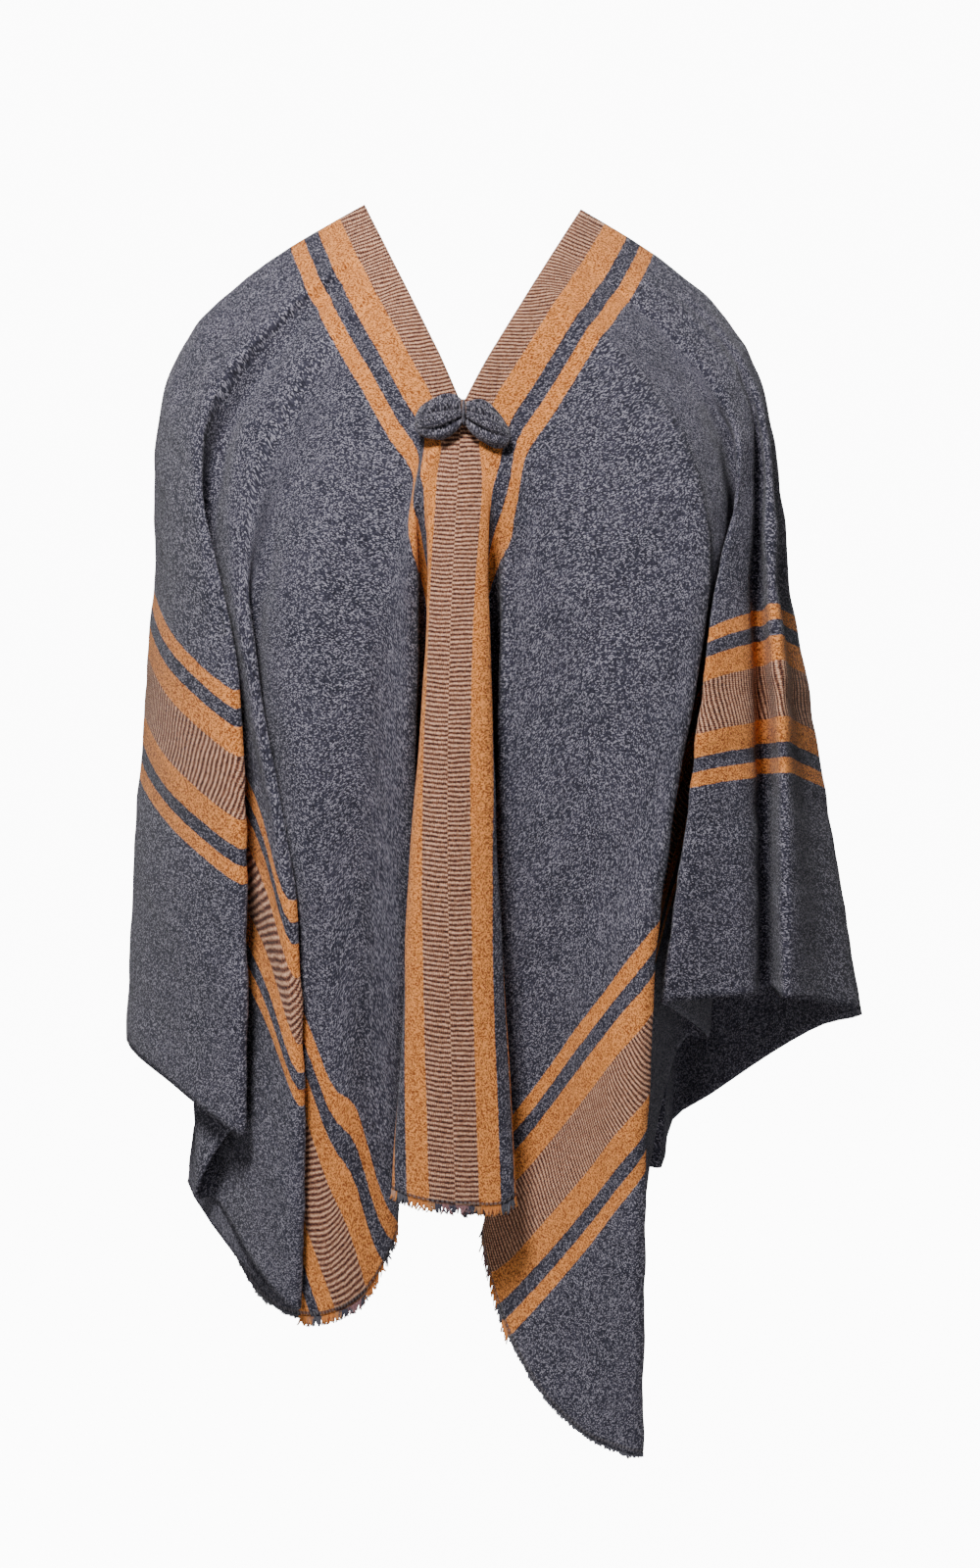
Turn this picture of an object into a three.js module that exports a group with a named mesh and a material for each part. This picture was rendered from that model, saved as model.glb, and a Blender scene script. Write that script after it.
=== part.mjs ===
// A handwoven wool poncho with its wearer removed: one rectangle of cloth with a slit down its middle
// band, a bow of the same cloth at the slit's lower end, and a short frayed fringe on both cut hems.
// Millimetres. The origin is between the neck points at shoulder height, the front faces -Y, up is +Z.
import * as THREE from 'three';

const HALF_WIDTH = 720;        // middle of the cloth to a selvedge
const HALF_LENGTH = 930;       // shoulder line to a cut hem
const SLIT_FRONT = 240;        // slit below the shoulder line, in front
const SLIT_END_WIDTH = 0.2;    // width of the slit's rounded end, as a share of the gathers under the bow
const WALL = 2;                // thickness of the cloth
const SEAM_GAP = 0.3;          // between pieces that meet
const FRINGE_GAP = 0.9;        // from the cut edge to the fringe's strip, so that its bends clear the wall
const SIDE_BAND = 390;         // middle of the cloth to the near edge of a side band
const COLLAR = 0.12;           // share of a fold line at the gathers under the bow
const YOKE = 0.25;             // share of a fold line at the yoke
const FRONT_ROWS = 16;
const BACK_ROWS = 14;
const FRONT_STEPS = 2;         // wall columns between two fold lines
const BACK_STEPS = 2;
const TURN_SPREAD = 0.15;      // how far a fold's two lines lie towards their neighbours at the neck
const TURN_START = 0.12;       // share of a fold line at which its round starts
const TURN_SPAN = 0.05;        // share of a fold line that its direction is taken over
const TURN_FULL = 0.5;         // share of a fold line at which its round is full

const FRINGE_STRIP = 2.5;      // height of the strip that the fringe's locks hang from
const FRINGE_LOCK = 11;        // length of a lock
const FRINGE_PITCH = 16;

const NECK_RIGHT = [93, 0, -4];
const NECK_LEFT = [-93, 0, 0];
const SLIT_END_FRONT = [-8, -125, -172];
const SLIT_END_BACK = [-8, 80, -172];
const SLIT_END_ROUND = 0.3;    // how round the slit's end is behind, 0 for a point and 1 for an ellipse
const NECK_ROUND = 0.8;        // how soon the slit's edges turn down over the shoulders, 1 for a sine

// Fold lines of the front, in order from the right shoulder round the hem to the left shoulder.
// Each is straight in the flat cloth, from the slit to the point (across, down) on the cloth's edge.
// turn: half the width of a sharp fold's round; slit: where it leaves the slit; yoke, band and edge: its
// place at the yoke, at the side band and at the cloth's edge.
const FRONT_RIGHT = [
  { name: 'shoulder', slit: 0, across: HALF_WIDTH, down: 0,
    yoke: [234, 0, -119], band: [281, 0, -356], edge: [344, 5, -707] },
  { name: 'sleeve face', slit: 8, across: HALF_WIDTH, down: 50,
    yoke: [231, -22, -126], band: [265, -42, -347], edge: [306, -48, -687] },
  { name: 'sleeve ridge', turn: 3, slit: 15, across: HALF_WIDTH, down: 110,
    yoke: [229, -36, -133], band: [254, -90, -341], edge: [267, -96, -676] },
  { name: 'sleeve groove', turn: 4, slit: 20, across: HALF_WIDTH, down: 158,
    yoke: [225, -38, -139], band: [243, -56, -348], edge: [253, -48, -675] },
  { name: 'sleeve crease', slit: 25, across: HALF_WIDTH, down: 206,
    yoke: [223, -52, -146], band: [231, -98, -349], edge: [239, -97, -673] },
  { name: 'sleeve front', slit: 35, across: HALF_WIDTH, down: 252,
    yoke: [219, -64, -159], band: [216, -112, -353], edge: [196, -112, -673] },
  { name: 'sleeve corner', slit: 45, across: HALF_WIDTH, down: 288,
    yoke: [214, -76, -173], band: [198, -120, -360], edge: [160, -122, -675] },
  { name: 'sleeve turn', slit: 50, across: HALF_WIDTH, down: 308,
    yoke: [213, -74, -180], band: [204, -103, -362], edge: [168, -104, -682] },
  { name: 'armpit', turn: 9, slit: 65, across: HALF_WIDTH, down: 500,
    yoke: [212, -66, -193], band: [217, 6, -407], edge: [203, 88, -742] },
  { name: 'side return', slit: 88, across: HALF_WIDTH, down: 700,
    yoke: [206, -88, -223], band: [162, -82, -510], edge: [152, -6, -870] },
  { name: 'side turn', slit: 96, across: HALF_WIDTH, down: 905,
    yoke: [193, -106, -240], band: [150, -135, -592], edge: [144, -122, -1046] },
  { name: 'corner', turn: 5, slit: 100, across: HALF_WIDTH, down: HALF_LENGTH,
    yoke: [188, -118, -250], band: [151, -150, -606], edge: [140, -140, -1058] },
  { name: 'panel outer', slit: 125, across: 650, down: HALF_LENGTH,
    yoke: [164, -132, -295], band: [124, -146, -643], edge: [97, -132, -1045] },
  { name: 'panel middle', slit: 160, across: 580, down: HALF_LENGTH,
    yoke: [126, -138, -319], band: [101, -138, -677], edge: [55, -120, -1006] },
  { name: 'panel inner', slit: 195, across: 510, down: HALF_LENGTH,
    yoke: [82, -140, -332], band: [69, -122, -724], edge: [24, -98, -948] },
];

// Fold lines of the box pleat, from the slit's end straight down to the hem.
// gather: how far across the cloth the line lies just under the bow; collar: its place there.
const FRONT_PLEAT = [
  { name: 'right valley edge', turn: 8, gather: 57, across: 445,
    collar: [32, -140, -249], yoke: [30, -138, -337], edge: [12, -82, -875] },
  { name: 'right fold', turn: 8, gather: 39, across: 300,
    collar: [19, -141, -249], yoke: [23, -105, -328], edge: [134, -24, -901] },
  { name: 'right under turn', turn: 6, gather: 33, across: 150,
    collar: [15, -142, -249], yoke: [6, -122, -327], edge: [-4, -60, -870] },
  { name: 'pleat right edge', turn: 4, gather: 28, across: 60,
    collar: [12, -143, -249], yoke: [13, -152, -327], edge: [35, -156, -834] },
  { name: 'pleat right face', gather: 19, across: 44,
    collar: [5, -145, -249], yoke: [5, -158, -327], edge: [23, -164, -839] },
  { name: 'pleat middle', gather: 0, across: 0,
    collar: [-12, -146, -249], yoke: [-11, -160, -327], edge: [-11, -168, -838] },
  { name: 'pleat left face', gather: -18, across: -44,
    collar: [-25, -145, -249], yoke: [-27, -158, -327], edge: [-46, -164, -834] },
  { name: 'pleat left edge', turn: 4, gather: -26, across: -60,
    collar: [-32, -143, -249], yoke: [-36, -152, -327], edge: [-65, -156, -828] },
  { name: 'left under turn', turn: 6, gather: -32, across: -150,
    collar: [-36, -142, -249], yoke: [-29, -122, -327], edge: [-36, -60, -859] },
  { name: 'left fold', turn: 8, gather: -39, across: -280,
    collar: [-42, -141, -249], yoke: [-51, -105, -328], edge: [-160, -30, -879] },
  { name: 'left valley edge', turn: 8, gather: -56, across: -388,
    collar: [-53, -139, -249], yoke: [-48, -138, -359], edge: [-67, -95, -874] },
];

const FRONT_LEFT = [
  { name: 'panel inner', slit: 195, across: -440, down: HALF_LENGTH,
    yoke: [-70, -140, -343], band: [-91, -128, -785], edge: [-91, -122, -926] },
  { name: 'panel middle', slit: 160, across: -490, down: HALF_LENGTH,
    yoke: [-106, -138, -335], band: [-119, -135, -739], edge: [-119, -132, -940] },
  { name: 'panel outer', slit: 130, across: -530, down: HALF_LENGTH,
    yoke: [-132, -135, -319], band: [-140, -132, -681], edge: [-144, -126, -943] },
  { name: 'hem behind', slit: 115, across: -600, down: HALF_LENGTH,
    yoke: [-152, -127, -305], band: [-169, -85, -620], edge: [-186, -80, -933] },
  { name: 'corner', turn: 7, slit: 105, across: -HALF_WIDTH, down: HALF_LENGTH,
    yoke: [-168, -112, -285], band: [-199, -62, -538], edge: [-247, -10, -853] },
  { name: 'tier turn', slit: 90, across: -HALF_WIDTH, down: 650,
    yoke: [-178, -112, -262], band: [-163, -120, -578], edge: [-163, -122, -934] },
  { name: 'tier edge', turn: 3, slit: 80, across: -HALF_WIDTH, down: 620,
    yoke: [-187, -108, -243], band: [-150, -142, -585], edge: [-147, -142, -932] },
  { name: 'tier face', slit: 65, across: -HALF_WIDTH, down: 540,
    yoke: [-199, -100, -222], band: [-180, -116, -503], edge: [-182, -120, -904] },
  { name: 'sleeve fold', turn: 8, slit: 55, across: -HALF_WIDTH, down: 440,
    yoke: [-208, -80, -203], band: [-228, -72, -440], edge: [-233, -62, -856] },
  { name: 'sleeve turn', slit: 48, across: -HALF_WIDTH, down: 368,
    yoke: [-216, -87, -190], band: [-207, -116, -411], edge: [-203, -114, -784] },
  { name: 'sleeve edge', turn: 3, slit: 45, across: -HALF_WIDTH, down: 345,
    yoke: [-220, -94, -175], band: [-195, -135, -411], edge: [-193, -134, -784] },
  { name: 'sleeve front', slit: 30, across: -HALF_WIDTH, down: 235,
    yoke: [-238, -55, -154], band: [-250, -84, -371], edge: [-254, -86, -753] },
  { name: 'sleeve face', slit: 15, across: -HALF_WIDTH, down: 120,
    yoke: [-249, -22, -132], band: [-277, -5, -335], edge: [-306, -4, -728] },
  { name: 'shoulder', slit: 0, across: -HALF_WIDTH, down: 0,
    yoke: [-249, 20, -116], band: [-280, 60, -331], edge: [-297, 85, -711] },
];

// Fold lines of the back, from the right shoulder round the hem to the left shoulder: its edge points.
// The yoke points between the two shoulders come from the figure's rounded back.
const BACK_RIGHT = [
  { name: 'sleeve back', across: HALF_WIDTH, down: 75, edge: [317, 50, -723] },
  { name: 'sleeve hang', across: HALF_WIDTH, down: 150, edge: [277, 108, -759] },
  { name: 'sleeve under', across: HALF_WIDTH, down: 240, edge: [222, 140, -805] },
  { name: 'sleeve end', across: HALF_WIDTH, down: 310, edge: [188, 168, -835] },
  { name: 'side valley', turn: 5, across: HALF_WIDTH, down: 420, edge: [168, 112, -868] },
  { name: 'side ridge', turn: 5, across: HALF_WIDTH, down: 570, edge: [152, 210, -915] },
  { name: 'side groove', turn: 5, across: HALF_WIDTH, down: 750, edge: [136, 136, -968] },
  { name: 'corner', turn: 5, across: HALF_WIDTH, down: HALF_LENGTH, edge: [120, 212, -1030] },
  { name: 'hem groove', turn: 5, across: 600, down: HALF_LENGTH, edge: [101, 150, -985] },
  { name: 'hem ridge', turn: 5, across: 480, down: HALF_LENGTH, edge: [82, 228, -942] },
  { name: 'hem valley', turn: 5, across: 360, down: HALF_LENGTH, edge: [60, 132, -912] },
  { name: 'hem fold', turn: 5, across: 235, down: HALF_LENGTH, edge: [38, 208, -888] },
  { name: 'hem hollow', turn: 5, across: 130, down: HALF_LENGTH, edge: [14, 146, -872] },
];
const BACK_MIDDLE = [
  { name: 'middle fold', turn: 5, across: 0, down: HALF_LENGTH, edge: [-10, 240, -866] },
];
const BACK_LEFT = [
  { name: 'hem hollow', turn: 5, across: -125, down: HALF_LENGTH, edge: [-34, 136, -870] },
  { name: 'hem fold', turn: 5, across: -235, down: HALF_LENGTH, edge: [-56, 214, -884] },
  { name: 'hem valley', turn: 5, across: -340, down: HALF_LENGTH, edge: [-76, 142, -900] },
  { name: 'hem ridge', turn: 5, across: -470, down: HALF_LENGTH, edge: [-97, 230, -918] },
  { name: 'hem groove', turn: 5, across: -600, down: HALF_LENGTH, edge: [-115, 136, -930] },
  { name: 'corner', turn: 5, across: -HALF_WIDTH, down: HALF_LENGTH, edge: [-134, 220, -944] },
  { name: 'side groove', turn: 5, across: -HALF_WIDTH, down: 740, edge: [-152, 132, -930] },
  { name: 'side ridge', turn: 5, across: -HALF_WIDTH, down: 560, edge: [-172, 210, -900] },
  { name: 'side valley', turn: 5, across: -HALF_WIDTH, down: 420, edge: [-190, 122, -866] },
  { name: 'sleeve end', across: -HALF_WIDTH, down: 300, edge: [-214, 176, -838] },
  { name: 'sleeve under', across: -HALF_WIDTH, down: 200, edge: [-250, 150, -792] },
  { name: 'sleeve back', across: -HALF_WIDTH, down: 100, edge: [-284, 120, -750] },
];
const BACK_YOKE_DEPTH = 100;   // how far the shoulder blades stand behind the shoulder line
const BACK_YOKE_LOW = -330;    // height of the yoke at the middle of the back
const BACK_STRAIGHT = 0.5;     // share of a back fold line from which it hangs straight
const SHOULDER_PART = 2.1;     // the back's shoulder edge behind the front's, so that the walls just clear

const CLOTH_COLOUR = 0x5d5e68;
const BOW_COLOUR = 0x514e58;
const FRINGE_COLOUR = 0x8a6a52;

const mix = (a, b, t) => a.map((value, axis) => value + (b[axis] - value) * t);

// A smooth line through the points, each reached at its own knot.
function smoothLine(knots, points, at) {
  const last = knots.length - 1;
  const rise = (i, axis) => (points[i + 1][axis] - points[i][axis]) / (knots[i + 1] - knots[i]);
  const inner = (i, axis) => {
    const before = knots[i] - knots[i - 1];
    const after = knots[i + 1] - knots[i];
    return (rise(i - 1, axis) * after + rise(i, axis) * before) / (before + after);
  };
  const slope = (i, axis) => {
    if (last === 1) return rise(0, axis);
    if (i === 0) return 1.5 * rise(0, axis) - 0.5 * inner(1, axis);
    if (i === last) return 1.5 * rise(last - 1, axis) - 0.5 * inner(last - 1, axis);
    return inner(i, axis);
  };
  let i = 0;
  while (i < last - 1 && at > knots[i + 1]) i += 1;
  const width = knots[i + 1] - knots[i];
  const t = (at - knots[i]) / width;
  const square = t * t;
  const cube = square * t;
  return points[0].map((_, axis) => (2 * cube - 3 * square + 1) * points[i][axis]
    + (cube - 2 * square + t) * width * slope(i, axis)
    + (3 * square - 2 * cube) * points[i + 1][axis]
    + (cube - square) * width * slope(i + 1, axis));
}

// The slit's edge, from a neck point to an end of the slit, rounded over the shoulder.
function neckEdge(neck, slitEnd, share) {
  const point = mix(neck, slitEnd, share);
  point[1] = neck[1] + (slitEnd[1] - neck[1]) * Math.sin(share * Math.PI / 2) ** NECK_ROUND;
  return point;
}

function sideFoldLine(row, neck) {
  const knots = [0, YOKE, SIDE_BAND / Math.abs(row.across), 1];
  const start = neckEdge(neck, SLIT_END_FRONT, row.slit / SLIT_FRONT);
  const points = [start, row.yoke, row.band, row.edge];
  return (share) => smoothLine(knots, points, share);
}

function pleatFoldLine(row) {
  const start = [...SLIT_END_FRONT];
  start[0] += row.gather * SLIT_END_WIDTH;
  const knots = [0, COLLAR, YOKE, 1];
  return (share) => smoothLine(knots, [start, row.collar, row.yoke, row.edge], share);
}

// turn runs from 0 at a shoulder to 1 at the middle of the back.
function backFoldLine(row, turn, neck) {
  const bearing = turn * Math.PI / 2;
  const slitShare = Math.sin(bearing);
  const start = neckEdge(neck, SLIT_END_BACK, slitShare);
  start[0] += (neck[0] * Math.cos(bearing) - start[0]) * SLIT_END_ROUND;
  start[1] += SHOULDER_PART * (1 - slitShare);
  const side = Math.sign(neck[0]);
  const shoulder = side > 0 ? FRONT_RIGHT[0].yoke : FRONT_LEFT.at(-1).yoke;
  const yoke = [
    shoulder[0] * Math.cos(bearing),
    shoulder[1] + (BACK_YOKE_DEPTH - shoulder[1]) * Math.sin(bearing) ** 0.8,
    shoulder[2] + (BACK_YOKE_LOW - shoulder[2]) * Math.sin(bearing),
  ];
  const middle = mix(yoke, row.edge, (BACK_STRAIGHT - YOKE) / (1 - YOKE));
  return (share) => smoothLine([0, YOKE, BACK_STRAIGHT, 1], [start, yoke, middle, row.edge], share);
}

const vector = (point) => new THREE.Vector3(...point);

// A fold line with a turn is a sharp fold: it becomes two lines, one on each side of the fold's round.
function roundFolds(rows, lines) {
  return lines.flatMap((line, i) => {
    const { turn } = rows[i];
    if (!turn) return [line];
    return [-1, 1].map((side) => (share) => {
      const here = vector(line(share));
      const neighbours = [lines[i - 1], lines[i + 1]].map((next) => vector(next(share)));
      const flat = here.clone().lerp(neighbours[side < 0 ? 0 : 1], TURN_SPREAD);
      const low = Math.max(share - TURN_SPAN, 0);
      const along = vector(line(low + TURN_SPAN)).sub(vector(line(low))).normalize();
      const [before, after] = neighbours.map((neighbour) => {
        const leg = neighbour.sub(here);
        return leg.addScaledVector(along, -leg.dot(along)).normalize();
      });
      const round = here.addScaledVector(after.sub(before).normalize(), side * turn);
      const growth = Math.min(1, Math.max(0, (share - TURN_START) / (TURN_FULL - TURN_START)));
      return flat.lerp(round, growth).toArray();
    });
  });
}

// The wall's middle surface: a grid of points, columns across the folds and rows down them.
function clothGrid(lines, rowCount, steps) {
  const rows = [];
  for (let r = 0; r <= rowCount; r += 1) {
    const points = lines.map((line) => line(r / rowCount));
    const knots = [0];
    for (let i = 1; i < points.length; i += 1) {
      const apart = Math.hypot(...points[i].map((value, axis) => value - points[i - 1][axis]));
      knots.push(knots[i - 1] + Math.sqrt(apart));
    }
    const row = [];
    for (let i = 0; i < points.length - 1; i += 1) {
      for (let step = 0; step < steps; step += 1) {
        const at = knots[i] + (knots[i + 1] - knots[i]) * step / steps;
        row.push(smoothLine(knots, points, at));
      }
    }
    row.push(points.at(-1));
    rows.push(row);
  }
  return rows;
}

function gridNormals(rows) {
  return rows.map((row, r) => row.map((_, c) => {
    const left = vector(row[Math.max(c - 1, 0)]);
    const right = vector(row[Math.min(c + 1, row.length - 1)]);
    const above = vector(rows[Math.max(r - 1, 0)][c]);
    const below = vector(rows[Math.min(r + 1, rows.length - 1)][c]);
    return right.sub(left).cross(below.sub(above)).normalize();
  }));
}

function meshFrom(name, positions, triangles, colour) {
  const geometry = new THREE.BufferGeometry();
  geometry.setAttribute('position', new THREE.Float32BufferAttribute(positions.flat(), 3));
  geometry.setIndex(triangles.flat());
  geometry.computeVertexNormals();
  const material = new THREE.MeshStandardMaterial({ color: colour, roughness: 0.95, metalness: 0 });
  const mesh = new THREE.Mesh(geometry, material);
  mesh.name = name;
  return mesh;
}

// A closed wall of cloth round a grid: both faces, and the four cut edges between them.
function clothWall(name, rows, facing, colour) {
  const normals = gridNormals(rows);
  const rowCount = rows.length;
  const columnCount = rows[0].length;
  const positions = [];
  for (const side of [1, -1]) {
    rows.forEach((row, r) => row.forEach((point, c) => {
      const normal = normals[r][c];
      const reach = side * facing * WALL / 2;
      positions.push([point[0] + normal.x * reach, point[1] + normal.y * reach, point[2] + normal.z * reach]);
    }));
  }
  const at = (side, r, c) => side * rowCount * columnCount + r * columnCount + c;
  const triangles = [];
  const quad = (a, b, c, d) => {
    if (facing > 0) triangles.push([a, b, c], [a, c, d]);
    else triangles.push([a, c, b], [a, d, c]);
  };
  for (let r = 0; r < rowCount - 1; r += 1) {
    for (let c = 0; c < columnCount - 1; c += 1) {
      quad(at(0, r, c), at(0, r, c + 1), at(0, r + 1, c + 1), at(0, r + 1, c));
      quad(at(1, r, c), at(1, r + 1, c), at(1, r + 1, c + 1), at(1, r, c + 1));
    }
  }
  for (let c = 0; c < columnCount - 1; c += 1) {
    const end = rowCount - 1;
    quad(at(0, 0, c), at(1, 0, c), at(1, 0, c + 1), at(0, 0, c + 1));
    quad(at(0, end, c), at(0, end, c + 1), at(1, end, c + 1), at(1, end, c));
  }
  for (let r = 0; r < rowCount - 1; r += 1) {
    const end = columnCount - 1;
    quad(at(0, r, 0), at(0, r + 1, 0), at(1, r + 1, 0), at(1, r, 0));
    quad(at(0, r, end), at(1, r, end), at(1, r + 1, end), at(0, r + 1, end));
  }
  return meshFrom(name, positions, triangles, colour);
}

// The fringe of one hem: a narrow strip just under the cut edge, with a pointed lock on each step of it.
function fringe(name, rows, firstColumn, lastColumn, facing) {
  const normals = gridNormals(rows);
  const end = rows.length - 1;
  const station = (c) => {
    const point = vector(rows[end][c]);
    const along = vector(rows[end][Math.min(c + 1, lastColumn)])
      .sub(vector(rows[end][Math.max(c - 1, firstColumn)])).normalize();
    const down = point.clone().sub(vector(rows[end - 1][c]));
    down.addScaledVector(along, -down.dot(along)).normalize();
    return { point, down, normal: normals[end][c].clone().multiplyScalar(facing) };
  };
  const between = (from, to, t) => ({
    point: from.point.clone().lerp(to.point, t),
    down: from.down.clone().lerp(to.down, t),
    normal: from.normal.clone().lerp(to.normal, t),
  });
  const positions = [];
  const add = (place, drop, reach) => {
    const corner = place.point.clone()
      .addScaledVector(place.down, drop)
      .addScaledVector(place.normal, reach);
    positions.push(corner.toArray());
    return positions.length - 1;
  };
  const roots = [];
  const middles = [];
  for (let c = firstColumn; c < lastColumn; c += 1) {
    const from = station(c);
    const to = station(c + 1);
    const locks = Math.max(1, Math.round(from.point.distanceTo(to.point) / FRINGE_PITCH));
    for (let lock = 0; lock < locks; lock += 1) {
      roots.push(between(from, to, lock / locks));
      middles.push(between(from, to, (lock + 0.5) / locks));
    }
  }
  roots.push(station(lastColumn));
  const count = middles.length;
  const half = WALL / 2;
  const corners = roots.map((root) => [
    add(root, FRINGE_GAP, half),
    add(root, FRINGE_GAP, -half),
    add(root, FRINGE_GAP + FRINGE_STRIP, half),
    add(root, FRINGE_GAP + FRINGE_STRIP, -half),
  ]);
  const triangles = [];
  const face = (a, b, c) => {
    if (facing > 0) triangles.push([a, b, c]);
    else triangles.push([a, c, b]);
  };
  for (let i = 0; i < count; i += 1) {
    const [outTop, inTop, outLow, inLow] = corners[i];
    const [nextOutTop, nextInTop, nextOutLow, nextInLow] = corners[i + 1];
    face(outTop, nextOutTop, nextOutLow);
    face(outTop, nextOutLow, outLow);
    face(inTop, nextInLow, nextInTop);
    face(inTop, inLow, nextInLow);
    face(outTop, inTop, nextInTop);
    face(outTop, nextInTop, nextOutTop);
    const tip = add(middles[i], FRINGE_GAP + FRINGE_STRIP + FRINGE_LOCK, 0);
    face(outLow, nextOutLow, tip);
    face(nextOutLow, nextInLow, tip);
    face(nextInLow, inLow, tip);
    face(inLow, outLow, tip);
  }
  const [firstOutTop, firstInTop, firstOutLow, firstInLow] = corners[0];
  face(firstOutTop, firstOutLow, firstInLow);
  face(firstOutTop, firstInLow, firstInTop);
  const [lastOutTop, lastInTop, lastOutLow, lastInLow] = corners[count];
  face(lastOutTop, lastInLow, lastOutLow);
  face(lastOutTop, lastInTop, lastInLow);
  return meshFrom(name, positions, triangles, FRINGE_COLOUR);
}

// A padded lobe of the bow: rounded, with creases that run out from the end gathered by the knot.
const BOW_KNOT = { centre: [-7, -140.8, -182], across: 6, depth: 10.8, height: 14 };
const BOW_LOOPS = [
  { name: 'bow_left_loop', side: -1, length: 38, height: 21, depth: 9, tilt: 0.02, drop: 0 },
  { name: 'bow_right_loop', side: 1, length: 38, height: 20, depth: 9, tilt: -0.22, drop: 3 },
];
const LOOP_RINGS = 12;
const LOOP_SIDES = 20;
const LOOP_CREASES = 3;
const CREASE_DEPTH = 0.12;

function bowLoop(row) {
  const positions = [];
  const startX = BOW_KNOT.across + SEAM_GAP;
  for (let ring = 0; ring <= LOOP_RINGS; ring += 1) {
    const share = ring / LOOP_RINGS;
    const swell = Math.sin(Math.PI * (0.14 + 0.84 * share)) ** 0.6;
    const fade = 1 - share;
    for (let i = 0; i < LOOP_SIDES; i += 1) {
      const angle = 2 * Math.PI * i / LOOP_SIDES;
      const crease = 1 - CREASE_DEPTH * fade * (0.5 + 0.5 * Math.cos(LOOP_CREASES * 2 * angle));
      const x = startX + row.length * share;
      const y = row.depth * swell * crease * Math.cos(angle);
      const z = row.height * swell * crease * Math.sin(angle);
      const turned = row.tilt * x;
      positions.push([
        BOW_KNOT.centre[0] + row.side * x,
        BOW_KNOT.centre[1] + y,
        BOW_KNOT.centre[2] - row.drop * share + z + turned,
      ]);
    }
  }
  const near = positions.length;
  const middleOf = (ring) => mix([0, 0, 0], positions.slice(ring * LOOP_SIDES, (ring + 1) * LOOP_SIDES)
    .reduce((sum, point) => sum.map((value, axis) => value + point[axis])), 1 / LOOP_SIDES);
  positions.push(middleOf(0), middleOf(LOOP_RINGS));
  const triangles = [];
  const face = (a, b, c) => {
    if (row.side > 0) triangles.push([a, c, b]);
    else triangles.push([a, b, c]);
  };
  for (let ring = 0; ring < LOOP_RINGS; ring += 1) {
    for (let i = 0; i < LOOP_SIDES; i += 1) {
      const next = (i + 1) % LOOP_SIDES;
      const a = ring * LOOP_SIDES + i;
      const b = ring * LOOP_SIDES + next;
      face(a, a + LOOP_SIDES, b + LOOP_SIDES);
      face(a, b + LOOP_SIDES, b);
    }
  }
  for (let i = 0; i < LOOP_SIDES; i += 1) {
    const next = (i + 1) % LOOP_SIDES;
    face(near, i, next);
    const far = LOOP_RINGS * LOOP_SIDES;
    face(near + 1, far + next, far + i);
  }
  return meshFrom(row.name, positions, triangles, BOW_COLOUR);
}

function bowKnot() {
  const geometry = new THREE.SphereGeometry(1, 14, 10);
  geometry.scale(BOW_KNOT.across, BOW_KNOT.depth, BOW_KNOT.height);
  const mesh = new THREE.Mesh(geometry, new THREE.MeshStandardMaterial({ color: BOW_COLOUR, roughness: 0.95 }));
  mesh.name = 'bow_knot';
  mesh.position.set(...BOW_KNOT.centre);
  return mesh;
}

const frontRows = [...FRONT_RIGHT, ...FRONT_PLEAT, ...FRONT_LEFT];
const frontFolds = [
  ...FRONT_RIGHT.map((row) => sideFoldLine(row, NECK_RIGHT)),
  ...FRONT_PLEAT.map(pleatFoldLine),
  ...FRONT_LEFT.map((row) => sideFoldLine(row, NECK_LEFT)),
];
const frontGrid = clothGrid(roundFolds(frontRows, frontFolds), FRONT_ROWS, FRONT_STEPS);

// The back's shoulder edges follow the front's.
const behind = (line) => (share) => {
  const [x, y, z] = line(share);
  return [x, y + SHOULDER_PART, z];
};
const backRows = [FRONT_RIGHT[0], ...BACK_RIGHT, ...BACK_MIDDLE, ...BACK_LEFT, FRONT_LEFT.at(-1)];
const backLast = backRows.length - 1;
const backHalf = BACK_RIGHT.length + 1;
const backFolds = backRows.map((row, i) => {
  if (i === 0) return behind(frontFolds[0]);
  if (i === backLast) return behind(frontFolds.at(-1));
  if (i <= backHalf) return backFoldLine(row, i / backHalf, NECK_RIGHT);
  return backFoldLine(row, (backLast - i) / (backLast - backHalf), NECK_LEFT);
});
const backGrid = clothGrid(roundFolds(backRows, backFolds), BACK_ROWS, BACK_STEPS);

// The grid columns between two corners of the cloth, which are both named corner.
function hemColumns(rows, steps) {
  const linesIn = (count) => rows.slice(0, count).reduce((sum, row) => sum + (row.turn ? 2 : 1), 0);
  const first = rows.findIndex((row) => row.name === 'corner');
  const last = rows.findLastIndex((row) => row.name === 'corner');
  return [linesIn(first) * steps, (linesIn(last + 1) - 1) * steps];
}
const poncho = new THREE.Group();
poncho.add(clothWall('front', frontGrid, 1, CLOTH_COLOUR));
poncho.add(clothWall('back', backGrid, -1, CLOTH_COLOUR));
poncho.add(fringe('front_fringe', frontGrid, ...hemColumns(frontRows, FRONT_STEPS), 1));
poncho.add(fringe('back_fringe', backGrid, ...hemColumns(backRows, BACK_STEPS), -1));
BOW_LOOPS.forEach((row) => poncho.add(bowLoop(row)));
poncho.add(bowKnot());

export default poncho;
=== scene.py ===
import math
from collections import namedtuple
from functools import partial

import bpy
import numpy as np
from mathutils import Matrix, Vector, noise


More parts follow.
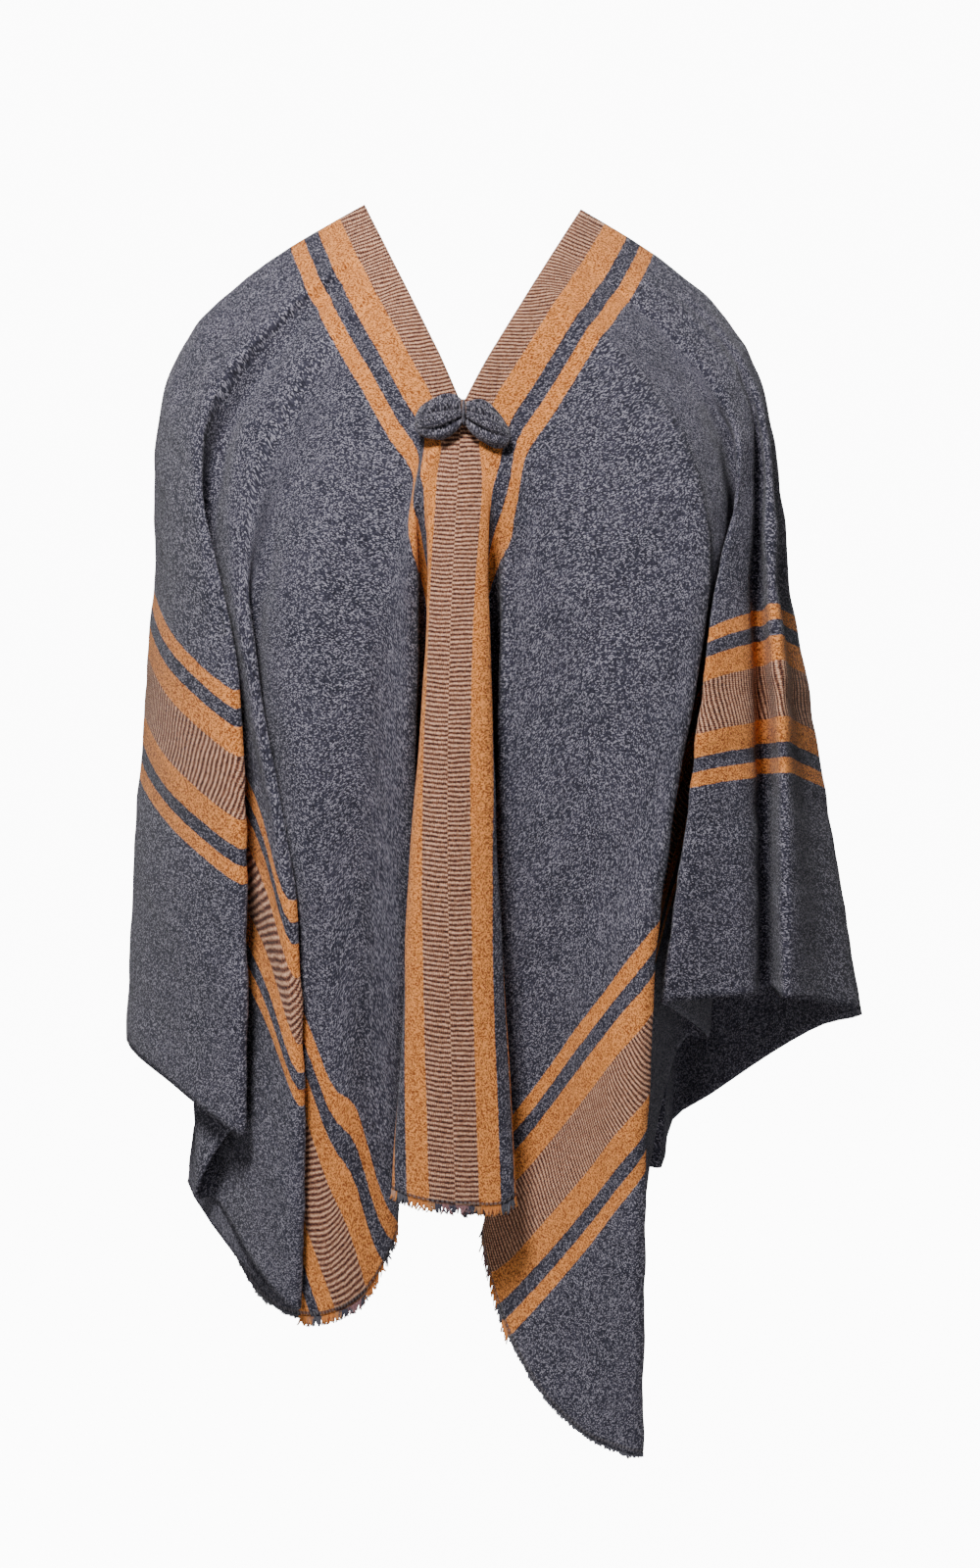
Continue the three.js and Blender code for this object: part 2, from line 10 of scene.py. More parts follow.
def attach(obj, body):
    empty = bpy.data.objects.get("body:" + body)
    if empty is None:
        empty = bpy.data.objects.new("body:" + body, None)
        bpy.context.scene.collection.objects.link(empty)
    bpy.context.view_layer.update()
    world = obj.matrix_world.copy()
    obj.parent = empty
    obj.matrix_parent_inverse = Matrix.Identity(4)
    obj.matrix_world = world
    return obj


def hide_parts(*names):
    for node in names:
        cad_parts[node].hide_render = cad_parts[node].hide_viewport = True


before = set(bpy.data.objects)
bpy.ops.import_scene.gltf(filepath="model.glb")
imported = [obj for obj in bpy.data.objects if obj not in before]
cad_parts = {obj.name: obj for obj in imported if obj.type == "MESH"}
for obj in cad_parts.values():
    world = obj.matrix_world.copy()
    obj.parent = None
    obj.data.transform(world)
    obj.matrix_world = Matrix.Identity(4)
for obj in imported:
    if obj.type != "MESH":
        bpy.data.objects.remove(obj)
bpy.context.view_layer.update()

# The cloth: one handwoven wool rectangle, 1.44 by 1.86 m, with a slit down its middle band. It hangs from
# the neck and shoulders in long folds. Each fold is a straight line in the flat cloth, from the slit to a
# point (across, down) on the border, with its places in millimetres at the yoke, the side band and the edge.
MM = 0.001
SIDE = 720
HEM = 930
SLIT_FRONT = 240
SLIT_BACK = 205
SLIT_END_WIDTH = 0.04
SLIT_END_ROUND = 0.3
SIDE_BAND = 390
COLLAR = 0.12
YOKE = 0.25
NECK_RIGHT = (93, 0, -4)
NECK_LEFT = (-93, 0, 0)
SLIT_END_FRONT = (-8, -125, -172)
SLIT_END_BACK = (-8, 80, -172)
NECK_ROUND = 0.8
# A fold's turn is half the width of its round, 0 where it is soft. Its slit or gather is where it leaves the
# slit or the gathers under the bow. Yoke, band, collar and edge are the places (x, y, z) that it passes.
SideFold = namedtuple("SideFold", "name turn slit across down yoke band edge")
PleatFold = namedtuple("PleatFold", "name turn gather yoke_across across collar yoke edge")
BackFold = namedtuple("BackFold", "name turn across down edge")
FRONT_RIGHT = [
    SideFold("shoulder", 0, 0, SIDE, 0, (234, 0, -119), (281, 0, -356), (344, 5, -707)),
    SideFold("sleeve face", 0, 8, SIDE, 50, (231, -22, -126), (265, -42, -347), (306, -48, -687)),
    SideFold("sleeve ridge", 3, 15, SIDE, 110, (229, -36, -133), (254, -90, -341), (267, -96, -676)),
    SideFold("sleeve groove", 4, 20, SIDE, 158, (225, -38, -139), (243, -56, -348), (253, -48, -675)),
    SideFold("sleeve crease", 0, 25, SIDE, 206, (223, -52, -146), (231, -98, -349), (239, -97, -673)),
    SideFold("sleeve front", 0, 35, SIDE, 252, (219, -64, -159), (216, -112, -353), (196, -112, -673)),
    SideFold("sleeve corner", 0, 45, SIDE, 288, (214, -76, -173), (198, -120, -360), (160, -122, -675)),
    SideFold("sleeve turn", 0, 50, SIDE, 308, (213, -74, -180), (204, -103, -362), (168, -104, -682)),
    SideFold("armpit", 9, 65, SIDE, 500, (212, -66, -193), (217, 6, -407), (203, 88, -742)),
    SideFold("side return", 0, 88, SIDE, 700, (206, -88, -223), (162, -82, -510), (152, -6, -870)),
    SideFold("side turn", 0, 96, SIDE, 905, (193, -106, -240), (150, -135, -592), (144, -122, -1046)),
    SideFold("corner", 5, 100, SIDE, HEM, (188, -118, -250), (151, -150, -606), (140, -140, -1058)),
    SideFold("panel outer", 0, 125, 650, HEM, (164, -132, -295), (124, -146, -643), (97, -132, -1045)),
    SideFold("panel middle", 0, 160, 580, HEM, (126, -138, -319), (101, -138, -677), (55, -120, -1006)),
    SideFold("panel inner", 0, 195, 510, HEM, (82, -140, -332), (69, -122, -724), (24, -98, -948)),
]
FRONT_PLEAT = [
    PleatFold("right valley edge", 8, 60, 88, 445, (32, -140, -249), (30, -138, -337), (12, -82, -875)),
    PleatFold("right fold", 8, 46, 72, 300, (18, -141, -249), (17, -105, -328), (134, -24, -901)),
    PleatFold("right under turn", 6, 41, 50, 150, (15, -142, -249), (6, -122, -327), (-4, -60, -870)),
    PleatFold("pleat right edge", 4, 29, 36, 60, (12, -143, -249), (13, -152, -327), (35, -156, -834)),
    PleatFold("pleat right face", 0, 19, 26, 43, (5, -145, -249), (5, -158, -327), (23, -164, -839)),
    PleatFold("pleat middle", 0, 0, 6, 3, (-12, -146, -249), (-11, -160, -327), (-11, -168, -838)),
    PleatFold("pleat left face", 0, -18, -14, -35, (-25, -145, -249), (-27, -158, -327), (-46, -164, -834)),
    PleatFold("pleat left edge", 4, -27, -27, -60, (-32, -143, -249), (-36, -152, -327), (-65, -156, -828)),
    PleatFold("left under turn", 6, -39, -42, -150, (-36, -142, -249), (-29, -122, -327), (-36, -60, -859)),
    PleatFold("left fold", 8, -47, -70, -280, (-41, -141, -249), (-41, -105, -328), (-160, -30, -879)),
    PleatFold("left valley edge", 8, -52, -88, -388, (-46, -139, -249), (-48, -138, -359), (-67, -95, -874)),
]
FRONT_LEFT = [
    SideFold("panel inner", 0, 195, -440, HEM, (-70, -140, -343), (-91, -128, -785), (-91, -122, -926)),
    SideFold("panel middle", 0, 160, -490, HEM, (-106, -138, -335), (-119, -135, -739), (-119, -132, -940)),
    SideFold("panel outer", 0, 130, -530, HEM, (-132, -135, -319), (-140, -132, -681), (-144, -126, -943)),
    SideFold("hem behind", 0, 115, -600, HEM, (-152, -127, -305), (-169, -85, -620), (-186, -80, -933)),
    SideFold("corner", 7, 105, -SIDE, HEM, (-168, -112, -285), (-199, -62, -538), (-247, -10, -853)),
    SideFold("tier turn", 0, 90, -SIDE, 650, (-178, -112, -262), (-163, -120, -578), (-163, -122, -934)),
    SideFold("tier edge", 3, 80, -SIDE, 620, (-187, -108, -243), (-150, -142, -585), (-147, -142, -932)),
    SideFold("tier face", 0, 65, -SIDE, 540, (-199, -100, -222), (-180, -116, -503), (-182, -120, -904)),
    SideFold("sleeve fold", 8, 55, -SIDE, 440, (-208, -80, -203), (-228, -72, -440), (-233, -62, -856)),
    SideFold("sleeve turn", 0, 48, -SIDE, 368, (-216, -87, -190), (-207, -116, -411), (-203, -114, -784)),
    SideFold("sleeve edge", 3, 45, -SIDE, 345, (-220, -94, -175), (-195, -135, -411), (-193, -134, -784)),
    SideFold("sleeve front", 0, 30, -SIDE, 235, (-238, -55, -154), (-250, -84, -371), (-254, -86, -753)),
    SideFold("sleeve face", 0, 15, -SIDE, 120, (-249, -22, -132), (-277, -5, -335), (-306, -4, -728)),
    SideFold("shoulder", 0, 0, -SIDE, 0, (-249, 20, -116), (-280, 60, -331), (-297, 85, -711)),
]
BACK_RIGHT = [
    BackFold("sleeve back", 0, SIDE, 75, (317, 50, -723)),
    BackFold("sleeve hang", 0, SIDE, 150, (277, 108, -759)),
    BackFold("sleeve under", 0, SIDE, 240, (222, 140, -805)),
    BackFold("sleeve end", 0, SIDE, 310, (188, 168, -835)),
    BackFold("side valley", 5, SIDE, 420, (168, 112, -868)),
    BackFold("side ridge", 5, SIDE, 570, (152, 210, -915)),
    BackFold("side groove", 5, SIDE, 750, (136, 136, -968)),
    BackFold("corner", 5, SIDE, HEM, (120, 212, -1030)),
    BackFold("hem groove", 5, 600, HEM, (101, 150, -985)),
    BackFold("hem ridge", 5, 480, HEM, (82, 228, -942)),
    BackFold("hem valley", 5, 360, HEM, (60, 132, -912)),
    BackFold("hem fold", 5, 235, HEM, (38, 208, -888)),
    BackFold("hem hollow", 5, 130, HEM, (14, 146, -872)),
]
BACK_MIDDLE = [
    BackFold("middle fold", 5, 0, HEM, (-10, 240, -866)),
]
BACK_LEFT = [
    BackFold("hem hollow", 5, -125, HEM, (-34, 136, -870)),
    BackFold("hem fold", 5, -235, HEM, (-56, 214, -884)),
    BackFold("hem valley", 5, -340, HEM, (-76, 142, -900)),
    BackFold("hem ridge", 5, -470, HEM, (-97, 230, -918)),
    BackFold("hem groove", 5, -600, HEM, (-115, 136, -930)),
    BackFold("corner", 5, -SIDE, HEM, (-134, 220, -944)),
    BackFold("side groove", 5, -SIDE, 740, (-152, 132, -930)),
    BackFold("side ridge", 5, -SIDE, 560, (-172, 210, -900)),
    BackFold("side valley", 5, -SIDE, 420, (-190, 122, -866)),
    BackFold("sleeve end", 0, -SIDE, 300, (-214, 176, -838)),
    BackFold("sleeve under", 0, -SIDE, 200, (-250, 150, -792)),
    BackFold("sleeve back", 0, -SIDE, 100, (-284, 120, -750)),
]
BACK_YOKE_DEPTH = 100
BACK_YOKE_LOW = -330
BACK_YOKE_ROUND = 0.8
BACK_STRAIGHT = 0.5
BACK_INNER = 200
BACK_OUTER = 500


def smooth(knots, points, at):
    """A smooth line through the points, each reached at its own knot."""
    last = len(knots) - 1

    def rise(i):
        return (points[i + 1] - points[i]) / (knots[i + 1] - knots[i])

    def inner(i):
        before, after = knots[i] - knots[i - 1], knots[i + 1] - knots[i]
        return (rise(i - 1) * after + rise(i) * before) / (before + after)

    def slope(i):
        if last == 1:
            return rise(0)
        if i == 0:
            return 1.5 * rise(0) - 0.5 * inner(1)
        if i == last:
            return 1.5 * rise(last - 1) - 0.5 * inner(last - 1)
        return inner(i)

    i = 0
    while i < last - 1 and at > knots[i + 1]:
        i += 1
    width = knots[i + 1] - knots[i]
    t = (at - knots[i]) / width
    start, end = 2 * t**3 - 3 * t**2 + 1, 3 * t**2 - 2 * t**3
    leave, arrive = t**3 - 2 * t**2 + t, t**3 - t**2
    return start * points[i] + leave * width * slope(i) + end * points[i + 1] + arrive * width * slope(i + 1)


def neck_edge(neck, slit_end, share):
    """A point on the slit's edge, at a share of the way from the neck to the slit's end."""
    point = np.array(neck, float) + (np.array(slit_end, float) - neck) * share
    point[1] = neck[1] + (slit_end[1] - neck[1]) * math.sin(share * math.pi / 2) ** NECK_ROUND
    return point


# A place holds x, y and z, then the flat cloth's across and down, negative behind the shoulders.
def place(point, across, down):
    return np.array([*point, across, down], float)


def unit(vector):
    return vector / max(np.linalg.norm(vector), 1e-9)


def from_slit(point, neck, slit_end):
    """How far a point lies from the line of the slit's edge."""
    along = unit(np.array(slit_end, float) - neck)
    reach = np.array(point, float) - neck
    return np.linalg.norm(reach - along * reach.dot(along))


# Each of the next three gives a fold as a line: the place at any share of its length, from slit to border.
def side_line(row, neck):
    start = neck_edge(neck, SLIT_END_FRONT, row.slit / SLIT_FRONT)
    knots = [0, YOKE, SIDE_BAND / abs(row.across), 1]
    flat_shares = [0, from_slit(row.yoke, neck, SLIT_END_FRONT) / abs(row.across), *knots[2:]]
    points = [
        place(point, row.across * share, row.slit + (row.down - row.slit) * share)
        for point, share in zip((start, row.yoke, row.band, row.edge), flat_shares)
    ]
    return lambda share: smooth(knots, points, share)


def pleat_line(row):
    start = np.array(SLIT_END_FRONT, float)
    start[0] += row.gather * SLIT_END_WIDTH
    knots = [0, COLLAR, YOKE, 1]
    drop = HEM - SLIT_FRONT
    points = [
        place(start, row.gather * SLIT_END_WIDTH, SLIT_FRONT),
        place(row.collar, row.gather, SLIT_FRONT + drop * COLLAR),
        place(row.yoke, row.yoke_across, SLIT_FRONT + drop * YOKE),
        place(row.edge, row.across, HEM),
    ]
    return lambda share: smooth(knots, points, share)


def back_line(row, turn, neck):
    bearing = turn * math.pi / 2
    slit_share = math.sin(bearing)
    start = neck_edge(neck, SLIT_END_BACK, slit_share)
    start[0] += (neck[0] * math.cos(bearing) - start[0]) * SLIT_END_ROUND
    shoulder = (FRONT_RIGHT[0] if neck[0] > 0 else FRONT_LEFT[-1]).yoke
    yoke = np.array([
        shoulder[0] * math.cos(bearing),
        shoulder[1] + (BACK_YOKE_DEPTH - shoulder[1]) * math.sin(bearing) ** BACK_YOKE_ROUND,
        shoulder[2] + (BACK_YOKE_LOW - shoulder[2]) * math.sin(bearing),
    ])
    slit = SLIT_BACK * slit_share
    middle = yoke + (np.array(row.edge, float) - yoke) * (BACK_STRAIGHT - YOKE) / (1 - YOKE)
    knots = [0, YOKE, BACK_STRAIGHT, 1]
    # The flat place at the yoke is measured on the sides, and is a plain share of the line near the middle.
    outer = min(1, max(0, (abs(row.across) - BACK_INNER) / (BACK_OUTER - BACK_INNER)))
    measured = from_slit(yoke, neck, SLIT_END_BACK) / max(abs(row.across), BACK_INNER)
    yoke_share = YOKE + (measured - YOKE) * outer
    flat_shares = [0, yoke_share, BACK_STRAIGHT + (yoke_share - YOKE) / 2, 1]
    points = [
        place(point, row.across * share, -slit - (row.down - slit) * share)
        for point, share in zip((start, yoke, middle, row.edge), flat_shares)
    ]
    return lambda share: smooth(knots, points, share)


# A sharp fold has a turn: it becomes two lines, one on each side of the fold's round.
TURN_SPREAD = 0.15
TURN_SPAN = 0.05
TURN_START = 0.12
TURN_FULL = 0.5


def round_line(line, neighbours, side, turn):
    """One of a sharp fold's two lines, on the side (-1 or 1) of one of its neighbours."""

    def at(share):
        here = line(share)
        near = [n(share) for n in neighbours]
        flat = here + (near[0 if side < 0 else 1] - here) * TURN_SPREAD
        low = max(share - TURN_SPAN, 0)
        along = unit((line(low + TURN_SPAN) - line(low))[:3])
        legs = []
        for other in near:
            leg = (other - here)[:3]
            legs.append(unit(leg - along * leg.dot(along)))
        growth = min(1, max(0, (share - TURN_START) / (TURN_FULL - TURN_START)))
        if growth == 0:
            return flat
        border = unit(near[1][3:] - near[0][3:])
        turned = here.copy()
        turned[:3] += unit(legs[1] - legs[0]) * side * turn
        turned[3:] += border * side * turn
        return flat + (turned - flat) * growth

    return at


# The fold lines in order round the cloth, the front from right to left and then the back.
fold_rows = FRONT_RIGHT + FRONT_PLEAT + FRONT_LEFT + BACK_LEFT[::-1] + BACK_MIDDLE + BACK_RIGHT[::-1]
half_turns = len(BACK_RIGHT) + 1
folds = [side_line(row, NECK_RIGHT) for row in FRONT_RIGHT]
folds += [pleat_line(row) for row in FRONT_PLEAT]
folds += [side_line(row, NECK_LEFT) for row in FRONT_LEFT]
folds += [back_line(row, (i + 1) / half_turns, NECK_LEFT) for i, row in enumerate(BACK_LEFT[::-1])]
folds += [back_line(BACK_MIDDLE[0], 1, NECK_RIGHT)]
folds += [back_line(row, 1 - (i + 1) / half_turns, NECK_RIGHT) for i, row in enumerate(BACK_RIGHT[::-1])]

ring = []
for i, (row, line) in enumerate(zip(fold_rows, folds)):
    beside = (folds[i - 1], folds[(i + 1) % len(folds)])
    if row.turn:
        ring += [round_line(line, beside, -1, row.turn), round_line(line, beside, 1, row.turn)]
    else:
        ring.append(line)

# Rows of places down the folds; in front the columns stand closer than behind.
CLOTH_ROWS = 118
FRONT_COLUMNS = 5
BACK_COLUMNS = 3
front_count = sum(2 if row.turn else 1 for row in FRONT_RIGHT + FRONT_PLEAT + FRONT_LEFT)


def cloth_row(share):
    """The places once round the cloth, where every fold is at this share of its length."""
    points = np.array([line(share) for line in ring])
    around = np.concatenate([points[-2:], points, points[:3]])
    knots = np.concatenate([[0], np.cumsum(np.sqrt(np.linalg.norm(np.diff(around[:, :3], axis=0), axis=1)))])
    places = []
    for i in range(len(ring)):
        k = i + 2
        steps = FRONT_COLUMNS if i < front_count - 1 else BACK_COLUMNS
        for step in range(steps):
            at = knots[k] + (knots[k + 1] - knots[k]) * step / steps
            places.append(smooth(knots[k - 1:k + 3], around[k - 1:k + 3], at))
    return places


cloth_places = np.array([cloth_row(row / CLOTH_ROWS) for row in range(CLOTH_ROWS + 1)])
shape, flat = cloth_places[:, :, :3] * MM, cloth_places[:, :, 3:] * MM


def grid_normals(points):
    left, right = np.roll(points, 1, axis=1), np.roll(points, -1, axis=1)
    above = np.concatenate([points[:1], points[:-1]])
    below = np.concatenate([points[1:], points[-1:]])
    normals = np.cross(right - left, below - above)
    return normals / np.maximum(np.linalg.norm(normals, axis=2, keepdims=True), 1e-9)


# Soft wrinkles between the folds: small swells that run down the cloth, none where the bow gathers it. Finer
# ones lie over them, half as deep, twice as close across the cloth and three times as close down it.
WRINKLE_DEPTH = 0.0022
WRINKLE_ACROSS = 26
WRINKLE_DOWN = 5
WRINKLE_FREE = 0.2
FINE_DEPTH = 0.5
FINE_ACROSS = 2
FINE_DOWN = 3
outward = grid_normals(shape)
for row in range(CLOTH_ROWS + 1):
    for column in range(shape.shape[1]):
        across, down = flat[row, column]
        wide, long = across * WRINKLE_ACROSS, down * WRINKLE_DOWN
        swell = noise.noise(Vector((wide, long, 2.0)))
        swell += FINE_DEPTH * noise.noise(Vector((wide * FINE_ACROSS, long * FINE_DOWN, 7.0)))
        freedom = min(1, row / CLOTH_ROWS / WRINKLE_FREE)
        shape[row, column] += outward[row, column] * swell * WRINKLE_DEPTH * freedom

# Creases seen on the front: soft troughs from start to end (x, z), each with a width and a depth in mm. A
# depth below nothing is a swell. They fade out towards both ends, and reach only cloth that faces forwards.
Crease = namedtuple("Crease", "start end width depth")
CREASES = [
    Crease((36, -235), (40, -760), 17, 7),
    Crease((-66, -330), (-84, -800), 15, 6),
    Crease((-214, -90), (-207, -410), 7, 4),
    Crease((-170, -202), (-165, -362), 6, 3),
    Crease((-167, -337), (-152, -395), 6, 3),
    Crease((70, -420), (118, -820), 20, -5),
    Crease((-120, -240), (-125, -560), 16, -4),
]
CREASE_END = 60
FRONT_BEGINS = -0.03
outward = grid_normals(shape)
front_side = -outward[:, :, 1].clip(-1, 0) * (shape[:, :, 1] < FRONT_BEGINS)
for crease in CREASES:
    start, end = np.array(crease.start, float), np.array(crease.end, float)
    length = np.linalg.norm(end - start)
    reach = shape[:, :, [0, 2]] / MM - start
    along = reach @ ((end - start) / length)
    aside = np.sqrt(np.maximum((reach**2).sum(axis=2) - along**2, 0))
    fade = np.clip(np.minimum(along, length - along) / CREASE_END, 0, 1)
    depth = crease.depth * MM * fade * np.exp(-(aside / crease.width) ** 2) * front_side
    shape -= outward * depth[:, :, None]

# The sheet's two faces and the cut edges between them.
CLOTH_THICK = 0.0018
outward = grid_normals(shape)
count = shape.shape[1]
faces_at = (CLOTH_ROWS + 1) * count
corners = np.concatenate([(shape + outward * CLOTH_THICK / 2).reshape(-1, 3),
                          (shape - outward * CLOTH_THICK / 2).reshape(-1, 3)])
flat_corners = np.concatenate([flat.reshape(-1, 2)] * 2)
quads = []
for row in range(CLOTH_ROWS):
    for column in range(count):
        a, b = row * count + column, row * count + (column + 1) % count
        c, d = b + count, a + count
        quads.append((a, b, c, d))
        quads.append((a + faces_at, d + faces_at, c + faces_at, b + faces_at))
for column in range(count):
    a, b = column, (column + 1) % count
    quads.append((a, a + faces_at, b + faces_at, b))
    a, b = a + CLOTH_ROWS * count, b + CLOTH_ROWS * count
    quads.append((a, b, b + faces_at, a + faces_at))


def mesh_object(name, points, polygons, flat_points=None):
    """A smooth object from points in metres, with the place of each point in the flat cloth."""
    mesh = bpy.data.meshes.new(name)
    mesh.from_pydata([tuple(p) for p in points], [], polygons)
    if flat_points is not None:
        places = mesh.uv_layers.new(name="flat")
        corner_of = np.empty(len(mesh.loops), dtype=np.int32)
        mesh.loops.foreach_get("vertex_index", corner_of)
        places.uv.foreach_set("vector", np.asarray(flat_points, dtype=np.float32)[corner_of].ravel())
    mesh.polygons.foreach_set("use_smooth", [True] * len(mesh.polygons))
    mesh.update()
    made = bpy.data.objects.new(name, mesh)
    bpy.context.scene.collection.objects.link(made)
    return made


cloth = mesh_object("poncho_cloth", corners, quads, flat_corners)


# Node helpers: make adds a node with its inputs set or linked, calc a sum, blend a mix of two colours and
# ramp a soft step from 0 to 1. A mix node has its two values in inputs 2 and 3 and its colours in 6 and 7.
def make(tree, kind, inputs=(), **settings):
    node = tree.nodes.new(kind)
    for key, value in settings.items():
        setattr(node, key, value)
    for key, value in dict(inputs).items():
        if isinstance(value, bpy.types.NodeSocket):
            tree.links.new(value, node.inputs[key])
        else:
            node.inputs[key].default_value = value
    return node


def calc(tree, operation, *values):
    return make(tree, "ShaderNodeMath", dict(enumerate(values)), operation=operation).outputs[0]


def blend(tree, share, first, second):
    inputs = {"Factor": share, 6: first, 7: second}
    return make(tree, "ShaderNodeMix", inputs, data_type="RGBA").outputs[2]


def ramp(tree, value, low, high):
    inputs = {"Value": value, "From Min": low, "From Max": high}
    return make(tree, "ShaderNodeMapRange", inputs, interpolation_type="SMOOTHSTEP").outputs[0]


def new_group(name, inputs, outputs):
    """A shader node group with named inputs and outputs, and its two end nodes."""
    group = bpy.data.node_groups.new(name, "ShaderNodeTree")
    for label, kind, value in inputs:
        socket = group.interface.new_socket(label, in_out="INPUT", socket_type=kind)
        if value is not None:
            socket.default_value = value
    for label, kind in outputs:
        group.interface.new_socket(label, in_out="OUTPUT", socket_type=kind)
    return group, group.nodes.new("NodeGroupInput"), group.nodes.new("NodeGroupOutput")


def colour(red, green, blue):
    """A screen colour, 0 to 255, as linear light."""
    screen = [value / 255 for value in (red, green, blue)]
    return [v / 12.92 if v <= 0.04045 else ((v + 0.055) / 1.055) ** 2.4 for v in screen] + [1]


# Hopsack weave, shared by the cloth, its fringe and the bow: threads that cross in a checker. Each thread
# crossing has its own chance number, because the yarn is spun from light and dark wool together.
THREAD = 0.0009
THREAD_SLIP = 0.0012
weave, weave_in, weave_out = new_group(
    "hopsack weave",
    [("Place", "NodeSocketVector", None), ("Thread", "NodeSocketFloat", THREAD)],
    [("Height", "NodeSocketFloat"), ("Fleck", "NodeSocketFloat")],
)
where = make(weave, "ShaderNodeSeparateXYZ", {0: weave_in.outputs["Place"]}).outputs
wander = make(weave, "ShaderNodeTexNoise", {"Vector": weave_in.outputs["Place"], "Scale": 120, "Detail": 2})
slip = calc(weave, "MULTIPLY_ADD", wander.outputs["Fac"], THREAD_SLIP, -THREAD_SLIP / 2)
thread_across = calc(weave, "DIVIDE", calc(weave, "ADD", where["X"], slip), weave_in.outputs["Thread"])
thread_down = calc(weave, "DIVIDE", calc(weave, "ADD", where["Y"], slip), weave_in.outputs["Thread"])
warp = calc(weave, "ABSOLUTE", calc(weave, "SINE", calc(weave, "MULTIPLY", thread_across, math.pi)))
weft = calc(weave, "ABSOLUTE", calc(weave, "SINE", calc(weave, "MULTIPLY", thread_down, math.pi)))
threads = make(weave, "ShaderNodeCombineXYZ", {"X": thread_across, "Y": thread_down}).outputs[0]
over = make(weave, "ShaderNodeTexChecker", {"Vector": threads, "Scale": 1.0}).outputs["Fac"]
crossing = make(weave, "ShaderNodeMix", {"Factor": over, 2: warp, 3: weft}).outputs[0]
weave.links.new(crossing, weave_out.inputs["Height"])
cell = make(weave, "ShaderNodeVectorMath", {0: threads}, operation="FLOOR").outputs[0]
fleck = make(weave, "ShaderNodeTexWhiteNoise", {"Vector": cell}).outputs["Value"]
weave.links.new(fleck, weave_out.inputs["Fleck"])

# The bands: brown ribs between orange, slate and narrow orange stripes, in the middle and 460 mm from it.
# Each stripe's yarn is flecked, and the ribs are rows of beads that lie half a rib apart in the two halves.
# The brown follows the ribs' height: painted highlight on the bead tops and painted shade between the rows.
BROWN_END = 0.023
ORANGE_END = 0.044
SLATE_END = 0.057
BAND_END = 0.070
BAND_APART = 0.460
STRIPE_WAVER = 0.0016
STRIPE_SOFT = 0.0004
BROWN_SOFT = 0.0005
RIB = 0.0041
RIB_ARCH = 0.2
RIB_SWAY = 0.8
RIB_HIGH = 0.34
RIB_MIDDLE = 0.47
RIB_FLECK = 0.44
RIB_BEAD = 0.0018
BEAD_HIGH = 0.16
BEAD_STAGGER = 0.7 * math.pi
bands, bands_in, bands_out = new_group(
    "bands",
    [
        ("Place", "NodeSocketVector", None),
        ("Grey", "NodeSocketColor", None),
        ("Fleck", "NodeSocketFloat", 0.5),
    ],
    [("Color", "NodeSocketColor"), ("Rib Height", "NodeSocketFloat"), ("In Brown", "NodeSocketFloat")],
)
where = make(bands, "ShaderNodeSeparateXYZ", {0: bands_in.outputs["Place"]}).outputs
wander = make(bands, "ShaderNodeTexNoise", {"Vector": bands_in.outputs["Place"], "Scale": 160, "Detail": 1})
side = calc(bands, "ABSOLUTE", where["X"])
from_side_band = calc(bands, "ABSOLUTE", calc(bands, "SUBTRACT", side, BAND_APART))
waver = calc(bands, "MULTIPLY_ADD", wander.outputs["Fac"], STRIPE_WAVER, -STRIPE_WAVER / 2)
from_middle = calc(bands, "ADD", calc(bands, "MINIMUM", side, from_side_band), waver)
half = calc(bands, "GREATER_THAN", where["X"], 0.0)
outwards = calc(bands, "POWER", calc(bands, "DIVIDE", from_middle, BROWN_END), 2.0)
arch = calc(bands, "MULTIPLY", outwards, RIB_ARCH)
sway = make(bands, "ShaderNodeTexNoise", {"Vector": bands_in.outputs["Place"], "Scale": 45, "Detail": 2})
bend = calc(bands, "ADD", arch, calc(bands, "MULTIPLY", sway.outputs["Fac"], RIB_SWAY))
rib = calc(bands, "MULTIPLY_ADD", where["Y"], 1 / RIB, calc(bands, "MULTIPLY_ADD", half, 0.5, bend))
stagger = calc(bands, "MULTIPLY", calc(bands, "FLOOR", rib), BEAD_STAGGER)
bead = calc(bands, "SINE", calc(bands, "MULTIPLY_ADD", where["X"], 2 * math.pi / RIB_BEAD, stagger))
rib_wave = calc(bands, "SINE", calc(bands, "MULTIPLY", rib, 2 * math.pi))
rib_row = calc(bands, "MULTIPLY_ADD", rib_wave, RIB_HIGH, RIB_MIDDLE)
rib_height = calc(bands, "MULTIPLY_ADD", bead, BEAD_HIGH, rib_row)
rib_fleck = calc(bands, "MULTIPLY_ADD", bands_in.outputs["Fleck"], RIB_FLECK, -RIB_FLECK / 2)
# Painted light: the rib's height turns the brown light on the bead tops (painted highlight) and dark between
# the ribs (painted shade). The fleck added to it is the yarn's own.
rib_light_shade_and_fleck = calc(bands, "ADD", rib_height, rib_fleck)
brown = blend(bands, ramp(bands, rib_light_shade_and_fleck, 0.1, 0.5), colour(58, 30, 27), colour(150, 100, 77))
brown = blend(bands, ramp(bands, rib_light_shade_and_fleck, 0.5, 0.95), brown, colour(240, 190, 156))
orange_fleck = ramp(bands, bands_in.outputs["Fleck"], 0.1, 0.8)
orange = blend(bands, orange_fleck, colour(140, 74, 30), colour(248, 160, 86))
slate = blend(bands, 0.22, bands_in.outputs["Grey"], colour(20, 18, 30))
shade = brown
stripe_limits = (
    (BROWN_END, orange),
    (ORANGE_END, slate),
    (SLATE_END, orange),
    (BAND_END, bands_in.outputs["Grey"]),
)
for limit, next_colour in stripe_limits:
    past = ramp(bands, from_middle, limit - STRIPE_SOFT, limit + STRIPE_SOFT)
    shade = blend(bands, past, shade, next_colour)
bands.links.new(shade, bands_out.inputs["Color"])
in_brown = ramp(bands, from_middle, BROWN_END + BROWN_SOFT, BROWN_END - BROWN_SOFT)
bands.links.new(calc(bands, "MULTIPLY", rib_height, in_brown), bands_out.inputs["Rib Height"])
bands.links.new(in_brown, bands_out.inputs["In Brown"])


